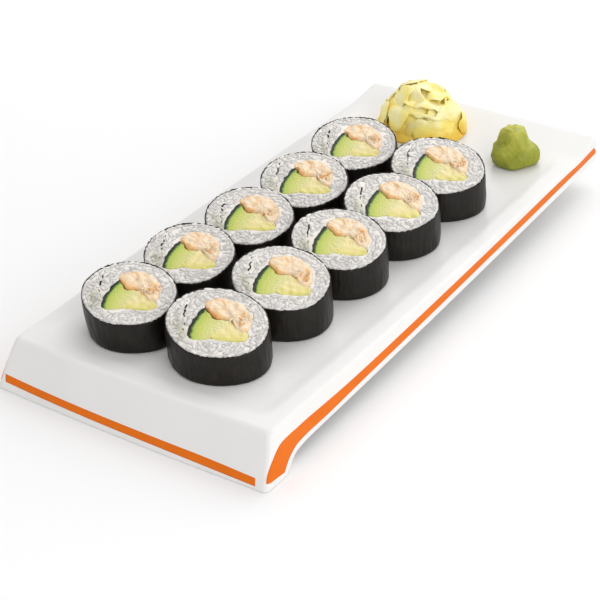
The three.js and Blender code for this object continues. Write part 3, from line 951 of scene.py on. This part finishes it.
def avocadoShell(spec):
    def relief(flat, edge):
        return 0.16 * waves(flat, 5, spec["seed"] + 1) + 0.07 * waves(flat, 1.8, spec["seed"] + 2)

    points, faces, values = fillingShell(spec, "avocado", relief)
    place = values["place"]
    rind = alongLine(spec, place[..., :2], ((19.4, -1.2), (14.6, -5.6), (9, -9.2), (4, -10.2)))
    return points, faces, {"place": place, "rind": rind}


# what makes the seafood orange: how much, how wide and along which line
orangeLines = (
    (0.5, 1.6, ((-8.5, 4.9), (-5, 3.6), (-1, 3.2))),
    (0.35, 1.1, ((-10.4, 8.4), (-9.2, 12.2), (-6.4, 13.6), (-3.2, 12.2), (-2.2, 8.6))),
    (0.45, 1.5, ((8.2, 11.8), (9.2, 8.4), (9.8, 4.8))),
    (-0.3, 1.8, ((-7.4, 8.6), (-5.8, 9.4))),
)
tailLine = ((-10.2, 6.4), (-10, 11), (-6.4, 13.2), (-3, 11.4), (-2.6, 6.2))


shreds = {
    "count": 18,
    "x": (5.5, 11.6),
    "y": (3.6, 11.0),
    "length": (2.0, 4.2),
    "radius": (0.35, 0.6),
    "tones": (0.0, 0.25, 0.85),  # how orange, and how often
    "odds": (0.45, 0.3, 0.25),
}


# a shred: a tube along a bent line, whose radius swells as the root of the sine
def shred(start, way, length, radius, bend, spec, orange):
    t = np.linspace(0, 1, 9)[:, None]
    turn = allRound(7)
    side = np.array([-way[1], way[0]])
    flat = start + way * (t - 0.5) * length + side * bend * np.sin(math.pi * t)
    girth = radius * np.sqrt(np.clip(np.sin(math.pi * t), 0, 1))
    x = flat[:, :1] + side[0] * girth * np.cos(turn)
    y = flat[:, 1:] + side[1] * girth * np.cos(turn)
    lie = fillings["seafood"]["rise"] + 0.3 + 0.5 * np.sin(3 * t + start[0])
    z = topOf(spec, x, y) + lie + girth * np.sin(turn)
    place = np.stack([x, y, z - 18], -1)
    return standing(spec, x, y, z), gridFaces(len(t), len(turn)), {"place": place, "orange": orange + 0 * x}


# a lump of seafood with a curled tail on its left, orange along its low edge, its curl and one
# streak, and loose shreds on its right
def seafoodShells(spec):
    def relief(flat, edge):
        lump = 0.4 * waves(flat, 6, spec["seed"] + 1) + 0.2 * waves(flat, 2.4, spec["seed"] + 2)
        groove = -0.45 * bell(alongLine(spec, flat, tailLine), 0.7)
        return (lump + groove) * smooth(0, 2.5, edge) + 0.2 - 0.35 * np.clip(1 - edge / 2.2, 0, 1) ** 2

    points, faces, values = fillingShell(spec, "seafood", relief)
    place, edge = values["place"], values["edge"]
    flat = place[..., :2]
    rim = 0.2 * bell(edge, 1.1) * (1 + waves(flat, 7, spec["seed"] + 5))
    orange = rim
    for amount, width, line in orangeLines:
        orange = orange + amount * bell(alongLine(spec, flat, line), width)
    shells = [(points, faces, {"place": place, "orange": np.clip(orange, 0, 1)})]
    draw = np.random.default_rng(spec["seed"] + 500)
    for _ in range(shreds["count"]):
        start = np.array([draw.uniform(*shreds["x"]), draw.uniform(*shreds["y"])]) * spec["stretch"]
        turn = draw.normal(1.9, 0.6)
        way = np.array([math.cos(turn), math.sin(turn)])
        tone = draw.choice(shreds["tones"], p=shreds["odds"])
        length, radius = draw.uniform(*shreds["length"]), draw.uniform(*shreds["radius"])
        shells.append(shred(start, way, length, radius, draw.normal(0, 0.5), spec, tone))
    return shells


foods = {
    # Roasted seaweed, moist from the rice: near black, with a dull sheen that shows on the
    # wrinkles, and a fibrous tone that changes over 1 to 5 mm.
    "nori": {
        "name": "moist roasted nori",
        "cloud": (160.0, 3.0),
        "tones": ((0.3, "#0d0a07"), (0.7, "#211c16")),
        "rough": (0.3, 0.48),
        "fibres": (1, 1, 0.25),
        "grain": (700.0, 6.0, 0.35, 0.0004),
        "specular": 0.25,
    },
    # Steamed short-grain rice with vinegar: white, faintly see-through and moist, each grain
    # with its own tone, tinged grey-green where the cucumber's juice has run into it, and greyed
    # by painted shade in a wider, fainter band round that.
    "rice": {
        "name": "steamed vinegared rice",
        "cloud": (500.0, 2.0),
        "measure": ("shade", 0.42857, 0, 1.42857),
        "tones": ((0.1, "#e8e0d6"), (0.4, "#ede5db"), (0.9, "#f4ebe2")),
        "stain": ("stain", "#b3b39a"),
        "rough": 0.42,
        "scatter": (0.6, (1.0, 0.95, 0.85), 0.0018),
    },
    # Raw cucumber, cut with a knife: dark green waxy skin a millimetre thick, then wet flesh
    # that fades from green to pale yellow-green at the seeds.
    "cucumber": {
        "name": "cut cucumber",
        "ownPlace": True,
        "cloud": (0.6, 4.0),
        "measure": ("skin", 1.6, 0.8, 14.8),
        "tones": (
            (0, "#141c0c"), (0.1, "#1d2c12"), (0.14, "#6b8a34"), (0.19, "#a9bc52"),
            (0.4, "#c3c868"), (0.7, "#d0cf84"), (1, "#dcd69c"),
        ),
        "rough": 0.42,
        "grain": (0.6, 4.0, 0.15, 0.0005),
        "specular": 0.25,
        "scatter": (0.2, (0.8, 1.0, 0.4), 0.001),
    },
    # Ripe avocado: buttery, pale yellow, greener towards where its rind was.
    "avocado": {
        "name": "ripe avocado",
        "ownPlace": True,
        "cloud": (0.35, 3.0),
        "measure": ("rind", 4.0, 1.5, 8.0),
        "tones": ((0, "#c8c262"), (0.25, "#d6cb70"), (0.6, "#dfd284"), (1, "#e4d698")),
        "rough": 0.4,
        "scatter": (0.25, (1.0, 0.9, 0.35), 0.0012),
    },
    # Cooked prawn and crab: cream flesh, orange where its outside shows.
    "seafood": {
        "name": "cooked prawn and crab",
        "ownPlace": True,
        "cloud": (0.55, 4.0),
        "measure": ("orange", 0.5, 0.05, 1.2),
        "tones": (
            (0, "#e6dac2"), (0.15, "#ecd6b8"), (0.38, "#eecda4"),
            (0.6, "#eec084"), (0.8, "#e8b070"), (1, "#dd9a66"),
        ),
        "rough": 0.38,
        "grain": (0.55, 4.0, 0.3, 0.0006),
        "scatter": (0.3, (1.0, 0.7, 0.45), 0.0014),
    },
}


finishes = {food: newMaterial(values) for food, values in foods.items()}
makers = {
    "nori": lambda spec: [noriRing(spec), noriStrip(spec)],
    "rice": lambda spec: [riceCore(spec), riceGrains(spec)],
    "cucumber": lambda spec: [cucumberShell(spec)],
    "avocado": lambda spec: [avocadoShell(spec)],
    "seafood": seafoodShells,
}
for row in rowPlan:
    for number in range(len(rowPlan[row]["slices"])):
        spec = sliceSpec(row, number)
        for food, make in makers.items():
            made = newPiece(f"{food}_slice_{spec['name']}", make(spec), finishes[food])
            finishPiece(made, food, f"{food}_{spec['name']}")

print("ginger and wasabi")

ginger = {
    "seed": 8,
    "at": (-23.0, 140.5),
    "reach": (28.3, 24.0, 29.5),  # radii and height
    "profile": ((0, 1.0), (0.3, 0.96), (0.5, 0.8), (0.67, 0.68), (0.8, 0.53), (0.95, 0.32), (1, 0.05)),
    "leaves": 44,
    "core": 0.78,  # size of the dome under the slices
    "off": 0.8,  # the slices' middles lie at this share of the reach
    "tilt": 0.42,  # how unevenly they lie
    "length": (18, 28),
    "breadth": (13, 20),
    "thick": 1.7,
    "curl": (0.03, 0.09),  # bending along and across, per unit
    "cup": (0.01, 0.05),
    "fold": (0.7, 1.9),  # height of the long waves
    "ruffle": (0.2, 0.7),  # and of those at the rim
    "byHand": (  # angle round the heap, climb, distance and tilt
        (2.5, 1.15, 0.93, 0.5),
        (0.9, 1.15, 0.9, -0.5),
        (-2.6, 0.35, 0.95, 0.2),
        (0.5, 0.12, 0.97, 0.1),
    ),
    "footShadeUpTo": 15.0,  # the painted shade at the foot ends at this height
}


# height of the tray's field over the level that the slices stand on
def fieldRise(modelY):
    y = modelY - trayOrigin[1]
    return tray["sink"] * smooth(*tray["level"], y) + lipRise(y)


# lifts what reaches under the tray's field
def onField(points):
    low = slice_["floor"] + fieldRise(points[..., 1]) + 0.02
    points[..., 2] = np.maximum(points[..., 2], low)
    return points


# a ginger slice: an oval sheet bent along its length, folded in a few long waves; its thickness
# is a flat ellipse round the sheet
def gingerLeaf(draw):
    long, wide = draw.uniform(*ginger["length"]), draw.uniform(*ginger["breadth"])
    curl, cup = draw.uniform(*ginger["curl"]), draw.uniform(*ginger["cup"])
    phase = draw.uniform(0, 2 * math.pi, 3)
    way = draw.uniform(-0.9, 0.9)
    fold, ruffle = draw.uniform(*ginger["fold"]), draw.uniform(*ginger["ruffle"])
    a = np.sin(np.linspace(-math.pi / 2, math.pi / 2, 34))[:, None]
    turn = allRound(30)[None]

    def sheet(a, b):
        x = a * long / 2 + 0 * b
        y = b * wide / 2 * np.sqrt(np.maximum(1 - np.abs(a) ** 2.6, 0))
        y = y * (1 + 0.14 * np.sin(4 * a + phase[0]))
        out = np.clip(a**2 + b**2, 0, 1.4)
        z = -curl * x * x / 2 - cup * y * y / 2
        z = z + fold * np.sin(0.33 * (x * math.cos(way) + y * math.sin(way)) + phase[1])
        z = z + ruffle * out**2 * np.sin(0.55 * x + 0.35 * y + phase[2])
        return np.stack([x, y, z], -1)

    b = np.cos(turn)
    step = 0.01
    alongA = sheet(np.clip(a + step, -1, 1), b) - sheet(np.clip(a - step, -1, 1), b)
    alongB = sheet(a, np.minimum(b + step, 1)) - sheet(a, np.maximum(b - step, -1))
    normal = np.cross(alongA, alongB)
    normal /= np.linalg.norm(normal, axis=-1, keepdims=True) + 1e-9
    edge = np.sqrt(np.maximum(1 - np.abs(a) ** 6, 0))
    half = ginger["thick"] / 2 * np.sign(np.sin(turn)) * np.abs(np.sin(turn)) ** 0.6 * edge
    return sheet(a, b) + normal * half[..., None]


def rotation(axis, angle):
    return np.array(Matrix.Rotation(angle, 3, axis))


# the dome under the slices: half an ellipsoid with lumps
def gingerCore():
    rx, ry, high = (ginger["core"] * reach for reach in ginger["reach"])
    turn = allRound(72)
    up = np.linspace(0, math.pi / 2, 16)[:, None]
    lump = 1 + 0.05 * np.sin(3 * turn + 1) + 0.04 * np.sin(5 * turn)
    x = rx * lump * np.cos(up) * np.cos(turn)
    y = ry * lump * np.cos(up) * np.sin(turn)
    core = np.stack([x, y, high * np.sin(up) * np.ones_like(turn)], -1)
    core = np.concatenate([core[:1] * [0, 0, 1], core])
    return core + 0.9 * waves(core, 9, 3)[..., None] * [0, 0, 1] * (core[..., 2:] > 1)


# where each slice lies on the heap: the angle round it, the climb from its foot, how far it
# stands off and its tilt, placed by the golden angle, then some listed for the two peaks and
# the low ends
def gingerPlaces(draw):
    places = []
    goldenAngle = 2.39996
    for i in range(ginger["leaves"]):
        share = (i + 0.5) / ginger["leaves"]
        climb = math.asin(min(1, 0.12 + 0.88 * share**1.15))
        places.append((i * goldenAngle, climb, ginger["off"], draw.normal(0, ginger["tilt"])))
    return places + list(ginger["byHand"])


# the heap: slices laid round the dome, each tangent to it, then tilted and turned at random; what
# reaches past the profile or the top is drawn in to a share of that
def gingerHeap():
    draw = np.random.default_rng(ginger["seed"])
    rx, ry, high = ginger["reach"]
    shells = [gingerCore()]
    for around, climb, off, lift in gingerPlaces(draw):
        leaf = gingerLeaf(draw)
        own = rotation("Z", draw.uniform(0, 2 * math.pi))
        tilt = rotation("Y", math.pi / 2 - climb + lift)
        leaf = leaf @ (rotation("Z", around) @ tilt @ own).T
        out = math.cos(climb) * off
        leaf = leaf + [rx * out * math.cos(around), ry * out * math.sin(around), high * off * math.sin(climb)]
        z = leaf[..., 2]
        leaf[..., 2] = np.where(z > high, high + 0.3 * (z - high), z)
        allowed = np.interp(leaf[..., 2] / high, *np.array(ginger["profile"]).T)
        reach = np.hypot(leaf[..., 0] / rx, leaf[..., 1] / ry)
        drawIn = np.where(reach > allowed, (allowed + 0.2 * (reach - allowed)) / np.maximum(reach, 1e-6), 1)
        leaf[..., :2] *= drawIn[..., None]
        shells.append(leaf)
    made = []
    for points in shells:
        # share of the height above the painted shade at the heap's foot
        fresh = smooth(0, ginger["footShadeUpTo"], points[..., 2])
        points = points + [ginger["at"][0], ginger["at"][1], slice_["floor"]]
        made.append((onField(points), gridFaces(*points.shape[:2]), {"fresh": fresh}))
    return made


# Pickled ginger: thin moist slices, pale to bright yellow, with painted shade that deepens
# the tone towards the heap's foot.
pickledGinger = {
    "name": "pickled ginger",
    "cloud": (120.0, 2.0),
    "measure": ("fresh", 1.85714, 0, 2.85714),
    "tones": ((0.25, "#f4bf38"), (0.42, "#fcdc60"), (0.58, "#ffee88"), (0.72, "#fff6ba")),
    "rough": 0.35,
    "grain": (900.0, 3.0, 0.1, 0.0003),
    "specular": 0.4,
}


wasabi = {
    "at": (45.9, 129.5),
    "radius": 13.3,
    "height": 21.5,
    "profile": (
        (0, 0), (0.79, 0), (0.9, 0.03), (0.96, 0.09), (1.0, 0.2), (1.0, 0.32), (0.96, 0.42), (0.86, 0.5),
        (0.72, 0.56), (0.66, 0.63), (0.62, 0.72), (0.57, 0.82), (0.5, 0.91), (0.34, 0.98), (0, 1),
    ),
    "lean": 1.2,  # the top stands this far to the left
    "lobes": (0.07, 0.05),  # three wide ones and five small ones, as shares of the radius
}


# wasabi: a blunt cone turned from its profile, its radius pushed about by three wide lobes, five
# small ones and lumps of paste
def wasabiMound():
    profile = np.array(wasabi["profile"])
    radius, height = wasabi["radius"], wasabi["height"]
    fine = np.linspace(0, len(profile) - 1, 80)
    r, h = (np.interp(fine, np.arange(len(profile)), profile[:, k])[:, None] for k in (0, 1))
    turn = allRound(130)[None]
    wide, small = wasabi["lobes"]
    lobes = 1 + wide * np.sin(3 * turn + 4 * h) + small * np.sin(5 * turn - 6 * h + 1)
    flat = r * radius * lobes
    ball = np.stack([flat * np.cos(turn), flat * np.sin(turn), h * height + 0 * turn], -1)
    push = 1 + 0.018 * waves(ball, 7, 4) + 0.01 * waves(ball, 3, 5) + 0.005 * waves(ball, 1.4, 6)
    x = flat * push * np.cos(turn) - wasabi["lean"] * h
    y = flat * push * np.sin(turn)
    z = h * height + 0.35 * waves(ball[..., :2], 5, 9) * smooth(0.6, 1, h) * (r > 0.01)
    points = np.stack([x, y, z], -1) + [*wasabi["at"], slice_["floor"]]
    return onField(points), gridFaces(len(fine), turn.size), {"high": h + 0 * turn}


# Wasabi paste: finely grated, moist and dull, olive to yellow-green in patches, paler on top.
wasabiPaste = {
    "name": "grated wasabi paste",
    "cloud": (130.0, 4.0),
    "measure": ("high", 1.85714, 0, 2.85714),
    "tones": ((0.3, "#868c1e"), (0.5, "#989c26"), (0.62, "#acac3a"), (0.75, "#c2bc50")),
    "rough": 0.5,
    "grain": (1400.0, 4.0, 0.4, 0.0004),
    "scatter": (0.15, (0.7, 1.0, 0.25), 0.001),
}


finishPiece(newPiece("ginger_heap", gingerHeap(), newMaterial(pickledGinger)), "ginger", "ginger")
finishPiece(newPiece("wasabi_mound", [wasabiMound()], newMaterial(wasabiPaste)), "wasabi", "wasabi")

print("done")
